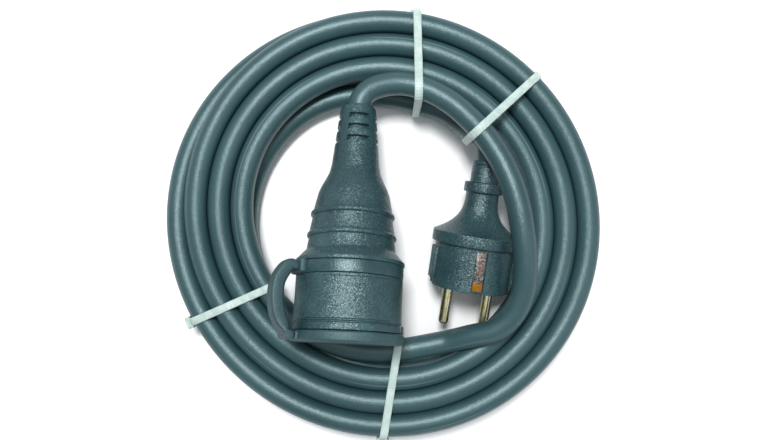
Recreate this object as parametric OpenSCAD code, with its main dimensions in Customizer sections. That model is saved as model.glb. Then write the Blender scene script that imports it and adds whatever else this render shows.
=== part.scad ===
// Coiled rubber extension cord: earthed plug with two round pins at one end, a lidded rubber coupling
// socket at the other, and the cord between them wound in two layers and held by four cable ties.
// Millimetres, +Z up, the coil lies flat. Origin: centre of the coil, on the floor.

/* [Cord] */
// Outer diameter of the rubber jacket
cord_d = 10.5; // [9.5:0.1:10.6]
// Free gap between neighbouring turns and between the two layers
turn_gap = 0.45; // [0.42:0.01:0.6]
// Diameter of one insulated core
core_d = 3; // [2.4:0.1:3.4]

/* [Coil] */
// Radius of the outermost turn's centreline where the spiral reverses
coil_r = 101; // [100:0.5:104]
// Whole loops in each layer, besides the part loop that ends at the reversal
layer_loops = 3; // [2:1:3]
// Angle where the upper layer starts, seen from above
upper_start_a = -75; // [-80:1:-70]
// Rings of the swept cord in one loop
loop_rings = 24; // [24:1:30]
// How far the coil is pushed out of round, to the side that coil_push_a gives
coil_push = 3.5; // [2:0.25:3.75]
// How far the coil is drawn out along the diagonal from +X -Y to -X +Y
coil_oval = 1.5; // [1.25:0.25:1.75]

/* [Cable ties] */
// Width of the strap
tie_w = 4.6; // [3.6:0.1:5]
// Thickness of the strap
tie_t = 1.15; // [1:0.05:1.3]
// Free gap between a strap and the cord in it
tie_gap = 0.1; // [0.1:0.05:0.3]
// Width of a tie's head
tie_head_w = 7; // [6:0.5:8]
// Height of a tie's head, along the strap
tie_head_h = 6; // [5:0.5:7]
// How far a tie's head stands out from the strap
tie_head_out = 3.4; // [3:0.1:4]

/* [Coupling socket] */
// Overall length with the lid closed
coupling_l = 109.4; // [108:0.2:111]
// Rubber round the contact carrier
barrel_wall = 2.2; // [2:0.1:2.7]
// Radius of the socket's recess, 40 mm across in the plug and socket standard
recess_r = 20; // [19.8:0.1:20.1]
// Depth of the socket's recess
recess_depth = 17.5; // [17.5:0.1:18.5]
// Wall of the hard contact carrier
carrier_wall = 1.3; // [1:0.1:1.4]
// Radius of the neck where the cord goes in
neck_r = 8.2; // [7.8:0.1:8.6]
// Depth of the slots that let the neck bend
neck_slot_depth = 1.8; // [1.2:0.1:2]
// Height of the two grip ribs
rib_h = 0.9; // [0.6:0.1:1.2]
// How far the lid stands out over the barrel
lid_over = 1.3; // [1.1:0.1:1.7]
// Thickness of the lid
lid_t = 4.5; // [4:0.1:5]
// Gap between the closed lid and the barrel's rim
lid_gap = 0.3; // [0.2:0.05:0.4]
// Height of the lid's sealing lip
lip_h = 1.5; // [1:0.1:2]
// Width of the lid's strap
strap_w = 11; // [9:0.5:12]
// Thickness of the lid's strap
strap_t = 2.6; // [2.2:0.1:3]
// Radius of the strap's rolled end, which the lid turns about
knuckle_r = 2; // [1.8:0.1:2.2]
// Running gap between the lid and the strap's rolled end
knuckle_gap = 0.3; // [0.25:0.05:0.4]

/* [Plug] */
// Radius of the part that goes into a socket
plug_r = 18.4; // [18:0.1:18.6]
// Length of that part, from the finger disc to the face
plug_nose_l = 23.9; // [23:0.1:25]
// Radius of the finger disc
disc_r = 20.5; // [20:0.25:20.75]
// Thickness of the finger disc
disc_t = 5.5; // [5:0.1:6]
// Radius of the sleeve that the cord comes out of
sleeve_r = 6.65; // [6.4:0.05:7]
// Length of the sleeve
sleeve_l = 10; // [9:0.25:11]
// Radius of the collar in front of the sleeve
collar_r = 9; // [8.5:0.1:9.5]
// Length of the collar
collar_l = 4.7; // [4:0.1:5.2]
// Length of the flare between collar and finger disc
flare_l = 19; // [18:0.25:19.5]
// Width of the guide groove on each side
groove_w = 5; // [4.5:0.1:5.5]
// Depth of the guide groove
groove_depth = 2.4; // [2:0.1:2.6]

/* [Pins and contacts] */
// Diameter of a pin
pin_d = 4.8; // [4.7:0.05:4.8]
// Distance between the two pins
pin_spacing = 19; // [18.8:0.1:19.2]
// Length of a pin in front of the plug's face
pin_l = 19; // [18.5:0.1:19]
// Length of pin held inside the plug
pin_root_l = 14; // [12:0.5:15]
// Bore of a contact sleeve
contact_bore = 4.9; // [4.9:0.05:5]
// Outer diameter of a contact sleeve
contact_d = 7.2; // [6.8:0.1:7.6]
// Length of a contact sleeve
contact_l = 16; // [15:0.25:16.5]
// Width of the earth strips
earth_w = 4.5; // [4:0.1:5]
// Thickness of the earth strips
earth_t = 1; // [0.8:0.1:1.1]
// Distance from the pins' line to the middle of the earth hole
earth_hole_off = 10; // [9.8:0.1:10.2]

/* [Hidden] */
$fn = 64;
rubber = [0.27, 0.36, 0.38];
hard_plastic = [0.17, 0.2, 0.21];
brass = [0.78, 0.66, 0.36];
nickel = [0.72, 0.7, 0.58];
nylon = [0.8, 0.87, 0.84];
fit_gap = 0.05;       // between pieces that are moulded or pressed into each other
cut = 1;              // how far a cutting solid runs past the face that it opens

// ---- Coil ----
cord_r = cord_d / 2;
pitch = cord_d + turn_gap;
low_z = tie_t + tie_gap + cord_r;
high_z = low_z + pitch;
reverse_a = -180;                                        // the spiral reverses at -X
layer_turns = layer_loops + (upper_start_a - reverse_a) / 360;
coil_turns = 2 * layer_turns;
crest = 0.12;                                            // turns over which the reversal is rounded
climb = 0.5;                                             // turns in which the cord changes layer
coil_grow = 0.5;
coil_push_a = -2;
layer_lean = 0.15;                                       // shift of each layer, as a share of the pitch
end_drop = 3;                                            // how far each end is drawn in towards the middle
end_turn = 0.15;                                         // turns in which it is drawn in
coil_sides = 6;

function smooth(t) = let(c = min(1, max(0, t))) c * c * (3 - 2 * c);
function turn_angle(u) = upper_start_a - 360 * u;
function lowered(u) = smooth((u - layer_turns) / climb + 0.5);
function from_crest(v) = abs(v) < crest ? v * v / (2 * crest) + crest / 2 : abs(v);
function coil_shape(a) = coil_grow + coil_push * cos(a - coil_push_a) - coil_oval * sin(2 * a);
function drawn_in(u) = end_drop * (2 - smooth(u / end_turn) - smooth((coil_turns - u) / end_turn));
function turn_radius(u) = coil_r - pitch * from_crest(u - layer_turns)
    + pitch * layer_lean * (1 - 2 * lowered(u)) * sin(turn_angle(u))
    + coil_shape(turn_angle(u)) - drawn_in(u);
function turn_height(u) = high_z + (low_z - high_z) * lowered(u);
function coil_point(u) = let(r = turn_radius(u), a = turn_angle(u))
    [r * cos(a), r * sin(a), turn_height(u)];
function unit(v) = v / norm(v);
small_turn = 0.001;
function coil_along(u) = unit(coil_point(u + small_turn) - coil_point(u - small_turn));
coil_rings = ceil(coil_turns * loop_rings);
coil_run = [for (i = [0:coil_rings]) coil_point(i * coil_turns / coil_rings)];
upper_way = coil_along(0);
lower_way = coil_along(coil_turns);
upper_end = coil_point(0) - cord_d * upper_way;
lower_end = coil_point(coil_turns) + cord_d * lower_way;
coil_path = concat([upper_end], coil_run, [lower_end]);
near_rings = round(loop_rings / 2);
coil_self_gap = min([for (i = [0:coil_rings - near_rings]) for (j = [i + near_rings:coil_rings])
    norm(coil_run[i] - coil_run[j])]) - cord_d;
function path_length(p, i = 1) = i >= len(p) ? 0 : norm(p[i] - p[i - 1]) + path_length(p, i + 1);

// ---- Where the coupling and the plug lie ----
coupling_at = [-9.5, 54, 24.4];    // middle of the neck's end
coupling_tilt = 12;              // the lid end is the higher one
coupling_lean = 2.5;
coupling_roll = 25;              // turns the lid's strap up from the side
coupling_way = [-sin(coupling_lean) * cos(coupling_tilt), -cos(coupling_lean) * cos(coupling_tilt),
                sin(coupling_tilt)];
plug_at = [46, -5, 20.8];    // middle of the finger disc
plug_dip = 5;                    // the plug lies on its disc and the edge of its face
plug_lean = 8;
plug_roll = 4;
plug_way = [-sin(plug_lean) * cos(plug_dip), -cos(plug_lean) * cos(plug_dip), -sin(plug_dip)];
plug_back = disc_t / 2 + flare_l + collar_l + sleeve_l;
plug_face = disc_t / 2 + plug_nose_l;
plug_exit = plug_at - plug_back * plug_way;

// ---- Free stretches of the cord ----
// Points that the cord follows from the coupling's neck to the coil's upper end
coupling_route = [[-8.4, 57.6, 24.1], [-5.6, 60.6, 24.5], [-1, 62.3, 25.3], [4.5, 63.3, 26.5],
                  [12, 63.2, 28.2], [21, 60.5, 29.8], [31, 55, 31.5],
                  [40, 47, 33.8], [48.5, 36.5, 37.2], [55.5, 24, 40], [60.5, 10, 41.6], [63.3, -5, 41.6],
                  [65, -20, 39.2], [64.5, -33, 35.4], [60, -44, 31.6], [52.5, -50.8, 28.7], [44.8, -52.9, 25.3],
                  [37.8, -55.5, 21.2]];
// Points that it follows from the coil's lower end to the plug
plug_route = [[38.2, 48.7, 9], [43.6, 43.8, 15.5], [48.6, 40.9, 22]];
neck_straight = 1.5;             // length in which the cord leaves the neck straight
lead_sides = 8;
lead_steps = 2;                  // rings in one span of a route
coupling_path = concat([coupling_at, coupling_at - neck_straight * coupling_way],
    eased(concat([coupling_at - neck_straight * coupling_way], coupling_route, [upper_end - cord_r * upper_way]),
          -coupling_way, upper_way, lead_steps),
    [upper_end - cord_r * upper_way, upper_end]);
plug_path = concat([lower_end, lower_end + cord_r * lower_way],
    eased(concat([lower_end + cord_r * lower_way], plug_route, [plug_exit - cord_r * plug_way]),
          lower_way, plug_way, lead_steps),
    [plug_exit - cord_r * plug_way, plug_exit]);

// Points between those of p, along a curve that leaves and arrives in the given directions
function slope(p, i, first, last) = i == 0 ? first * norm(p[1] - p[0])
    : i == len(p) - 1 ? last * norm(p[i] - p[i - 1]) : (p[i + 1] - p[i - 1]) / 2;
function hermite(p, q, m, n, t) = (2 * t ^ 3 - 3 * t ^ 2 + 1) * p + (t ^ 3 - 2 * t ^ 2 + t) * m
    + (3 * t ^ 2 - 2 * t ^ 3) * q + (t ^ 3 - t ^ 2) * n;
function eased(p, first, last, steps) = [for (i = [0:len(p) - 2]) for (k = [0:steps - 1])
    if (i + k > 0) hermite(p[i], p[i + 1], slope(p, i, first, last), slope(p, i + 1, first, last), k / steps)];

// A tube swept along path, its first and last ring square to its ends
module swept(path, r, sides, turned = 0) {
    n = len(path);
    ways = [for (i = [0:n - 1]) i == 0 ? unit(path[1] - path[0])
        : i == n - 1 ? unit(path[i] - path[i - 1])
        : unit(unit(path[i + 1] - path[i]) + unit(path[i] - path[i - 1]))];
    rings = [for (i = [0:n - 1]) let(side = unit(cross(ways[i], [0, 0, 1])), up = cross(side, ways[i]))
        for (k = [0:sides - 1]) let(a = turned + 360 * k / sides)
        path[i] + r * (cos(a) * side + sin(a) * up)];
    walls = [for (i = [0:n - 2]) for (k = [0:sides - 1]) let(a = i * sides + k, b = i * sides + (k + 1) % sides)
        each [[a, a + sides, b + sides], [a, b + sides, b]]];
    caps = [for (k = [1:sides - 2]) each [[0, k, k + 1],
        [(n - 1) * sides, (n - 1) * sides + k + 1, (n - 1) * sides + k]]];
    polyhedron(points = rings, faces = concat(walls, caps));
}

module coil() {
    color(rubber) swept(coil_path, cord_r, coil_sides);
}

module coupling_lead() {
    color(rubber) swept(coupling_path, cord_r, lead_sides);
}

module plug_lead() {
    color(rubber) swept(plug_path, cord_r, lead_sides);
}

echo("least gap of the coil to itself", coil_self_gap);
echo("cord lengths", path_length(coil_path), path_length(coupling_path), path_length(plug_path));

// ---- Cable ties ----
// Each strap lies in an upright plane: the plane's direction and its distance from the coil's middle
top_tie = [90, 17.9];
right_tie = [42.5, 0];
left_tie = [204, -7.7];
bottom_tie = [261, -17.9];
tied_from = 50;                  // cord nearer to the coil's middle than this passes beside a strap
coil_slant = 0.25;               // how much each stretch slants to the straps that hold it
coupling_slant = 0.3;
plug_slant = 0.6;

function in_plane(p, tie, off) = [p[0] * cos(tie[0]) + p[1] * sin(tie[0]),
    p[1] * cos(tie[0]) - p[0] * sin(tie[0]) + tie[1] - off, p[2]];
// Where a path of the cord passes the tie's plane moved by off, as distance and height in that plane
function crossings(path, tie, off) = [for (i = [0:len(path) - 2])
    let(p = in_plane(path[i], tie, off), q = in_plane(path[i + 1], tie, off))
    if (p[1] * q[1] <= 0 && p[1] != q[1] && p[0] > tied_from)
        let(t = p[1] / (p[1] - q[1])) [p[0] + t * (q[0] - p[0]), p[2] + t * (q[2] - p[2])]];
function at_edges(path, tie, slant) = [for (off = [-1, 0, 1])
    each crossings(path, tie, off * (tie_w / 2 + slant * cord_r))];

module bundle(cords) {
    hull() for (p = cords) translate(p) circle(r = cord_r, $fn = 32);
}

// The cord of the bundle that lies farthest out, of all or of those above or below a height
function farthest(cords) = let(x = max([for (p = cords) p[0]])) [for (p = cords) if (p[0] == x) p][0];

// The head sits on the strap between the outermost cord and the outermost one of the other layer
module tie_head(cords) {
    outer = farthest(cords);
    next = farthest([for (p = cords) if (abs(p[1] - outer[1]) > cord_r) p]);
    foot = outer[1] < next[1] ? outer : next;
    up = unit((outer[1] < next[1] ? next : outer) - foot);
    translate([(outer[0] + next[0]) / 2, 0, (outer[1] + next[1]) / 2]) rotate([0, atan2(up[0], up[1]), 0])
        translate([cord_r + tie_gap + tie_t / 2, -tie_head_w / 2, -tie_head_h / 2])
            cube([tie_t / 2 + tie_head_out, tie_head_w, tie_head_h]);
}

module cable_tie(tie) {
    cords = concat(at_edges(coil_path, tie, coil_slant), at_edges(coupling_path, tie, coupling_slant),
        at_edges(plug_path, tie, plug_slant));
    color(nylon) rotate([0, 0, tie[0]]) translate([0, -tie[1], 0]) {
        rotate([90, 0, 0]) linear_extrude(tie_w, center = true) difference() {
            offset(r = tie_gap + tie_t) bundle(cords);
            offset(r = tie_gap) bundle(cords);
        }
        tie_head(crossings(coil_path, tie, 0));
    }
}

module tie_top() { cable_tie(top_tie); }
module tie_right() { cable_tie(right_tie); }
module tie_left() { cable_tie(left_tie); }
module tie_bottom() { cable_tie(bottom_tie); }

// ---- Coupling socket ----
// Its pieces are drawn along +Z from the neck's end to the lid, with the strap on the -X side
module lay_coupling() {
    translate(coupling_at) rotate([90 - coupling_tilt, 0, -coupling_lean]) rotate([0, 0, -coupling_roll])
        children();
}

rim_z = coupling_l - lid_t - lid_gap;       // end of the barrel
floor_z = rim_z - recess_depth;             // bottom of the recess
carrier_r = recess_r + carrier_wall;
barrel_r = carrier_r + barrel_wall;
lid_r = barrel_r + lid_over;
carrier_floor = 12.5;
carrier_z = floor_z - carrier_floor;
carrier_set = 0.6;                          // the carrier's rim lies this far inside the barrel
collar_z = rim_z - 31.6;
barrel_z = collar_z - 0.4;
collar_w = 6.6;
collar_seat = 1;                            // depth of the groove that the collar sits in
collar_out = 0.5;
rib_zs = [barrel_z - 21.1, barrel_z - 11.4];
rib_w = 2.4;
neck_z = barrel_z - 44;
neck_top_r = 11.5;
slot_zs = [6.2, 11.6, 17.2];
slot_w = 2;
slot_bridge = 2.6;                          // rubber left between two slots of a row
rim_groove_z = rim_z - 3.9;
rim_groove_w = 0.9;
rim_groove_depth = 0.5;
cone_r = barrel_r - 4.5;
shoulder_r = barrel_r - 3.7;
flare_r = barrel_r - 7.3;
flare_z = barrel_z - 30.4;
edge_r = 1;
hinge_r = lid_r + knuckle_r + knuckle_gap + 0.3;
hinge_z = coupling_l - lid_t / 2;
pad_w = 19;
contact_z = floor_z - 0.6 - contact_l;      // rear of the contact sleeves
pin_hole_r = pin_d / 2 + 0.5;
bow_z = contact_z + 1;                      // rear of the earth bow
bow_reach = recess_r - 1.6;                 // distance of the clips from the middle
bow_squeeze = 1.4;                          // how far the clips lean in
clip_slot = 0.35;

module coupling_outline() {
    polygon(concat(
        [[0, 0], [neck_r - edge_r, 0]],
        [for (a = [-75:15:0]) [neck_r - edge_r + edge_r * cos(a), edge_r + edge_r * sin(a)]],
        [[neck_r + 0.3, slot_zs[2] + 2], [neck_top_r, neck_z]],
        [for (t = [0.15:0.15:0.9]) [neck_top_r + (flare_r - neck_top_r) * (smooth(t) + t) / 2,
                                    neck_z + (flare_z - neck_z) * t]],
        [[flare_r, flare_z], [(flare_r + cone_r) / 2 + 0.2, rib_zs[0] - rib_w / 2]],
        rib(rib_zs[0], (flare_r + cone_r) / 2 + 0.3),
        [[cone_r, rib_zs[1] - rib_w / 2]],
        rib(rib_zs[1], cone_r),
        [[shoulder_r, barrel_z - 4.5], [shoulder_r + 0.8, barrel_z - 4],
         [barrel_r - 0.5, barrel_z - 0.5], [barrel_r, barrel_z],
         [barrel_r, collar_z], [barrel_r - collar_seat, collar_z],
         [barrel_r - collar_seat, collar_z + collar_w], [barrel_r, collar_z + collar_w],
         [barrel_r, rim_groove_z], [barrel_r - rim_groove_depth, rim_groove_z + rim_groove_w / 2],
         [barrel_r, rim_groove_z + rim_groove_w], [barrel_r, rim_z - 0.5],
         [barrel_r - 0.5, rim_z], [0, rim_z]]));
}

// The half-round bead of a grip rib
function rib(z, r) = [for (a = [-90:30:90]) [r + rib_h * cos(a), z + rib_w / 2 * sin(a)]];

// A row of slots round the neck
module neck_slots() {
    for (z = slot_zs) difference() {
        translate([0, 0, z - slot_w / 2]) cylinder(h = slot_w, r = neck_top_r);
        translate([0, 0, z - slot_w / 2 - cut]) cylinder(h = slot_w + 2 * cut, r = neck_r + 0.2 - neck_slot_depth);
        for (a = [0, 90]) rotate([0, 0, a + coupling_roll])
            translate([-neck_top_r - cut, -slot_bridge / 2, z - slot_w])
                cube([2 * (neck_top_r + cut), slot_bridge, 2 * slot_w]);
    }
}

// A straight round rod from p to q
module rod(p, q, r) {
    d = q - p;
    translate(p) rotate([0, acos(d[2] / norm(d)), atan2(d[1], d[0])]) cylinder(h = norm(d), r = r);
}

// Where the three cores leave the jacket, and where each one ends on its contact
core_ring = 2.1;
function core_start(a, z) = [core_ring * cos(a), core_ring * sin(a), z];
line_core = [core_start(90, 0), [0, pin_spacing / 2, contact_z]];
neutral_core = [core_start(-90, 0), [0, -pin_spacing / 2, contact_z]];
earth_core = [core_start(180, 0), [-core_ring, 0, bow_z]];

// A core from one point to the other, its ends square to the piece's axis
module coupling_core(run, grow = 0) {
    over = grow > 0 ? cut : 0;
    further = (run[1] - run[0]) / 10;
    intersection() {
        rod(run[0] - further, run[1] + further, core_d / 2 + grow);
        translate([-carrier_r, -carrier_r, run[0][2] - over])
            cube([2 * carrier_r, 2 * carrier_r, run[1][2] - run[0][2] + over + grow]);
    }
}

module coupling_core_line() { color("saddlebrown") lay_coupling() coupling_core(line_core); }
module coupling_core_neutral() { color("royalblue") lay_coupling() coupling_core(neutral_core); }
module coupling_core_earth() { color("yellowgreen") lay_coupling() coupling_core(earth_core); }

module contact_sleeve(y, grow = 0) {
    translate([0, y, contact_z]) difference() {
        cylinder(h = contact_l, r = contact_d / 2 + grow);
        if (grow == 0) translate([0, 0, 1]) cylinder(h = contact_l, r = contact_bore / 2);
    }
}

module contact_line() { color(brass) lay_coupling() contact_sleeve(pin_spacing / 2); }
module contact_neutral() { color(brass) lay_coupling() contact_sleeve(-pin_spacing / 2); }

// One side of the bow: a strip that rises along the recess, leans in and flares out at its end
bow_half = [[0, bow_z], [bow_reach + 1, bow_z], [bow_reach + 1, floor_z + 2], [bow_reach + 1 - bow_squeeze, floor_z + 9],
            [bow_reach + 1, rim_z - 4]];

module bow_strip(grow = 0) {
    for (side = [-1, 1]) for (i = [0:len(bow_half) - 2])
        rotate([90, 0, 0]) linear_extrude(earth_w + 2 * grow, center = true)
            hull() for (p = [bow_half[i], bow_half[i + 1]])
                translate([side * (p[0] - (p[0] > 0 ? earth_t / 2 : 0)), p[1] + earth_t / 2])
                    square(earth_t + 2 * grow, center = true);
}

module earth_bow() { color(brass) lay_coupling() bow_strip(); }

// The ribs that fit the plug's guide grooves
guide_w = groove_w - 1;
guide_h = groove_depth - 0.6;

module contact_carrier() {
    color(hard_plastic) lay_coupling() difference() {
        translate([0, 0, carrier_z]) cylinder(h = rim_z - carrier_set - carrier_z, r = carrier_r);
        difference() {
            translate([0, 0, floor_z]) cylinder(h = recess_depth + cut, r = recess_r);
            for (side = [-1, 1]) translate([-guide_w / 2, side * (recess_r - guide_h / 2 + cut / 2) - guide_h / 2 - cut / 2, floor_z - cut])
                cube([guide_w, guide_h + cut, recess_depth - 2]);
        }
        for (side = [-1, 1]) {
            contact_sleeve(side * pin_spacing / 2, fit_gap);
            translate([0, side * pin_spacing / 2, carrier_z]) cylinder(h = carrier_floor + cut, r = pin_hole_r);
        }
        for (side = [-1, 1]) translate([side * (bow_reach + 1 - earth_t / 2), 0, (carrier_z + rim_z) / 2 - 3])
            cube([earth_t + 2 * clip_slot, earth_w + 2 * clip_slot, rim_z - carrier_z], center = true);
    }
}

module coupling_body() {
    color(rubber) lay_coupling() difference() {
        rotate_extrude() coupling_outline();
        neck_slots();
        translate([0, 0, carrier_z - fit_gap]) cylinder(h = coupling_l, r = carrier_r + fit_gap);
        for (side = [-1, 1]) contact_sleeve(side * pin_spacing / 2, fit_gap);
        translate([0, 0, (bow_z + carrier_z) / 2])
            cube([2 * (bow_reach + 1) + 2 * clip_slot, earth_w + 2 * clip_slot, carrier_z - bow_z + 2 * fit_gap], center = true);
        for (run = [line_core, neutral_core, earth_core]) coupling_core(run, fit_gap);
    }
}

// The lid's collar, strap and lid are one rubber moulding on the bench; the lid is the part that swings
module lid_collar() {
    color(rubber) lay_coupling() translate([0, 0, collar_z + fit_gap]) difference() {
        cylinder(h = collar_w - 2 * fit_gap, r = barrel_r + collar_out);
        translate([0, 0, -cut]) cylinder(h = collar_w + 2 * cut, r = barrel_r - collar_seat + fit_gap);
    }
}

// The strap's line, as distance from the barrel's axis and height
strap_line = [[barrel_r + 1.7, collar_z + 3.3], [barrel_r + 6, collar_z + 2.6], [hinge_r + 6.6, collar_z + 5],
              [hinge_r + 10.2, collar_z + 10], [hinge_r + 11.5, (collar_z + hinge_z) / 2 - 0.6],
              [hinge_r + 10.4, hinge_z - 11.2], [hinge_r + 6.6, hinge_z - 5.4], [hinge_r, hinge_z]];
strap_steps = 4;
strap_curve = concat([strap_line[0]],
    eased(strap_line, unit([1, 0.1]), unit([-1, 0.85]), strap_steps), [strap_line[len(strap_line) - 1]]);
function across(p, i) = let(d = unit(p[min(i + 1, len(p) - 1)] - p[max(i - 1, 0)])) [-d[1], d[0]];
function strap_side(s) = [for (i = [0:len(strap_curve) - 1]) strap_curve[i] + s * strap_t / 2 * across(strap_curve, i)];
function reversed(v) = [for (i = [len(v) - 1:-1:0]) v[i]];

module lid_strap() {
    color(rubber) lay_coupling() {
        difference() {
            union() {
                rotate([90, 0, 0]) linear_extrude(strap_w, center = true) mirror([1, 0])
                    polygon(concat(strap_side(1), reversed(strap_side(-1))));
                translate([-hinge_r, strap_w / 2, hinge_z]) rotate([90, 0, 0]) cylinder(h = strap_w, r = knuckle_r);
                translate([-barrel_r - 2.6, -pad_w / 2, collar_z + fit_gap])
                    cube([4, pad_w, collar_w - 2 * fit_gap]);
            }
            translate([0, 0, collar_z - cut]) cylinder(h = rim_z - collar_z, r = barrel_r + collar_out + fit_gap);
        }
    }
}

module lid() {
    tab_t = lid_t - 1.5;
    color(rubber) lay_coupling() difference() {
        union() {
            translate([0, 0, rim_z + lid_gap]) rotate_extrude() polygon(concat([[0, 0], [lid_r - 0.6, 0], [lid_r, 0.6]],
                [for (a = [0:30:90]) [lid_r - edge_r + edge_r * cos(a), lid_t - edge_r + edge_r * sin(a)]], [[0, lid_t]]));
            translate([0, 0, rim_z + lid_gap - lip_h]) difference() {
                cylinder(h = lip_h + 0.5, r = recess_r - 0.7);
                translate([0, 0, -cut]) cylinder(h = lip_h + cut, r = recess_r - 2.2);
            }
            translate([-hinge_r, -strap_w / 2, hinge_z - tab_t / 2]) cube([hinge_r - recess_r, strap_w, tab_t]);
        }
        translate([-hinge_r, strap_w / 2 + cut, hinge_z]) rotate([90, 0, 0])
            cylinder(h = strap_w + 2 * cut, r = knuckle_r + knuckle_gap);
        translate([-2 * hinge_r, -strap_w, hinge_z - lid_t]) cube([hinge_r, 2 * strap_w, 2 * lid_t]);
    }
}

// ---- Plug ----
// Its pieces are drawn along +Z from the finger disc's middle to the face, with the pins on the X axis
module lay_plug() {
    translate(plug_at) rotate([90 + plug_dip, 0, -plug_lean]) rotate([0, 0, -plug_roll]) children();
}

bridge_r = 14.6;
bridge_t = 8;
frame_seat = 0.4;                           // the earth strips lie this far below the body's surface
frame_front = plug_face - 1.2;
frame_back = disc_t / 2 + 2;
frame_bar_z = plug_face - bridge_t - 3;
flare_start_r = 8.2;
flare_end_r = 16.5;
earth_hole_r = 3.2;
earth_sleeve_r = 4.2;
pin_tip = 1.8;
pin_collar_r = 3;
pin_collar_l = 2;
pin_root_r = pin_d / 2 - 0.25;              // the free part has a shoulder at the plug's face
plug_core_z = plug_face - pin_root_l;       // rear end of the pins
pin_collar_z = plug_face - bridge_t - 3;

module plug_outline() {
    z0 = -plug_back;
    polygon(concat(
        [[0, z0], [sleeve_r - 0.5, z0], [sleeve_r, z0 + 0.5],
         [sleeve_r, z0 + 1.6], [sleeve_r - 0.3, z0 + 1.9], [sleeve_r - 0.3, z0 + 2.2], [sleeve_r, z0 + 2.5],
         [sleeve_r, z0 + sleeve_l], [collar_r - 0.6, z0 + sleeve_l], [collar_r, z0 + sleeve_l + 0.6],
         [collar_r, z0 + sleeve_l + collar_l - 0.6], [collar_r - 0.6, z0 + sleeve_l + collar_l]],
        [for (t = [0:0.1:1]) [flare_start_r + (flare_end_r - flare_start_r) * (0.35 * t + 0.65 * t ^ 2.2),
                              z0 + sleeve_l + collar_l + flare_l * t]],
        [for (a = [-90:30:0]) [disc_r - edge_r + edge_r * cos(a), -disc_t / 2 + edge_r + edge_r * sin(a)]],
        [for (a = [0:30:90]) [disc_r - edge_r + edge_r * cos(a), disc_t / 2 - edge_r + edge_r * sin(a)]],
        [[plug_r + 0.6, disc_t / 2], [plug_r, disc_t / 2 + 0.6], [plug_r, plug_face - 0.8],
         [plug_r - 0.8, plug_face], [0, plug_face]]));
}

// The guide grooves, on the pins' line
module guide_grooves() {
    for (side = [-1, 1]) translate([side * plug_r, 0, plug_face / 2 + disc_t])
        cube([2 * groove_depth, groove_w, plug_face], center = true);
}

// One bent strip: a bar behind the pin bridge and a leg on each side of the body
module earth_strip(grow = 0) {
    reach = plug_r - frame_seat;
    for (side = [-1, 1]) translate([-earth_w / 2 - grow, side * (reach - earth_t / 2) - earth_t / 2 - grow, frame_back - grow])
        cube([earth_w + 2 * grow, earth_t + 2 * grow, frame_front - frame_back + 2 * grow]);
    translate([-earth_w / 2 - grow, -reach + grow, frame_bar_z - grow])
        cube([earth_w + 2 * grow, 2 * reach - 2 * grow, earth_t + 2 * grow]);
}

module earth_frame() {
    color(brass) lay_plug() earth_strip();
}

module pin_outline(grow = 0) {
    r = pin_d / 2 + grow;
    root = pin_root_r + grow;
    polygon(concat([[0, plug_core_z], [root, plug_core_z], [root, pin_collar_z - grow],
        [pin_collar_r + grow, pin_collar_z - grow], [pin_collar_r + grow, pin_collar_z + pin_collar_l + grow],
        [root, pin_collar_z + pin_collar_l + grow], [root, plug_face], [r, plug_face], [r, plug_face + pin_l - pin_tip]],
        [for (a = [15:15:75]) [r - pin_tip + pin_tip * cos(a), plug_face + pin_l - pin_tip + pin_tip * sin(a)]],
        [[r - pin_tip, plug_face + pin_l], [0, plug_face + pin_l]]));
}

module pin(x, grow = 0) {
    translate([x, 0, 0]) rotate_extrude() pin_outline(grow);
}

module pin_line() { color(nickel) lay_plug() pin(-pin_spacing / 2); }
module pin_neutral() { color(nickel) lay_plug() pin(pin_spacing / 2); }

module earth_sleeve_shape(grow = 0) {
    translate([0, -earth_hole_off, plug_face - bridge_t + 0.6 - grow]) difference() {
        cylinder(h = bridge_t - 1.2 + grow, r = earth_sleeve_r + grow);
        if (grow == 0) translate([0, 0, -cut]) cylinder(h = bridge_t + 2 * cut, r = earth_hole_r);
    }
}

module earth_sleeve() { color(brass) lay_plug() earth_sleeve_shape(); }

module pin_bridge() {
    color(hard_plastic) lay_plug() difference() {
        translate([0, 0, plug_face - bridge_t]) cylinder(h = bridge_t, r = bridge_r);
        for (side = [-1, 1]) translate([side * pin_spacing / 2, 0, plug_face - bridge_t - cut])
            cylinder(h = bridge_t + 2 * cut, r = pin_root_r + fit_gap);
        earth_sleeve_shape(fit_gap);
        translate([0, -earth_hole_off, plug_face - bridge_t - cut]) cylinder(h = bridge_t + 2 * cut, r = earth_hole_r);
    }
}

plug_line_core = [core_start(180, -plug_back), [-pin_spacing / 2, 0, plug_core_z]];
plug_neutral_core = [core_start(0, -plug_back), [pin_spacing / 2, 0, plug_core_z]];
plug_earth_core = [core_start(90, -plug_back), [0, core_ring + 2, frame_bar_z]];

module plug_core_line() { color("saddlebrown") lay_plug() coupling_core(plug_line_core); }
module plug_core_neutral() { color("royalblue") lay_plug() coupling_core(plug_neutral_core); }
module plug_core_earth() { color("yellowgreen") lay_plug() coupling_core(plug_earth_core); }

module plug_body() {
    color(rubber) lay_plug() difference() {
        rotate_extrude() plug_outline();
        guide_grooves();
        translate([0, 0, plug_face - bridge_t - fit_gap]) cylinder(h = bridge_t + cut, r = bridge_r + fit_gap);
        for (side = [-1, 1]) pin(side * pin_spacing / 2, fit_gap);
        earth_strip(fit_gap);
        for (side = [-1, 1]) translate([-earth_w / 2 - 0.4, side * plug_r - 1, frame_back - 0.6])
            cube([earth_w + 0.8, 2, frame_front - frame_back + 1.2]);
        for (run = [plug_line_core, plug_neutral_core, plug_earth_core]) coupling_core(run, fit_gap);
    }
}

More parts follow.
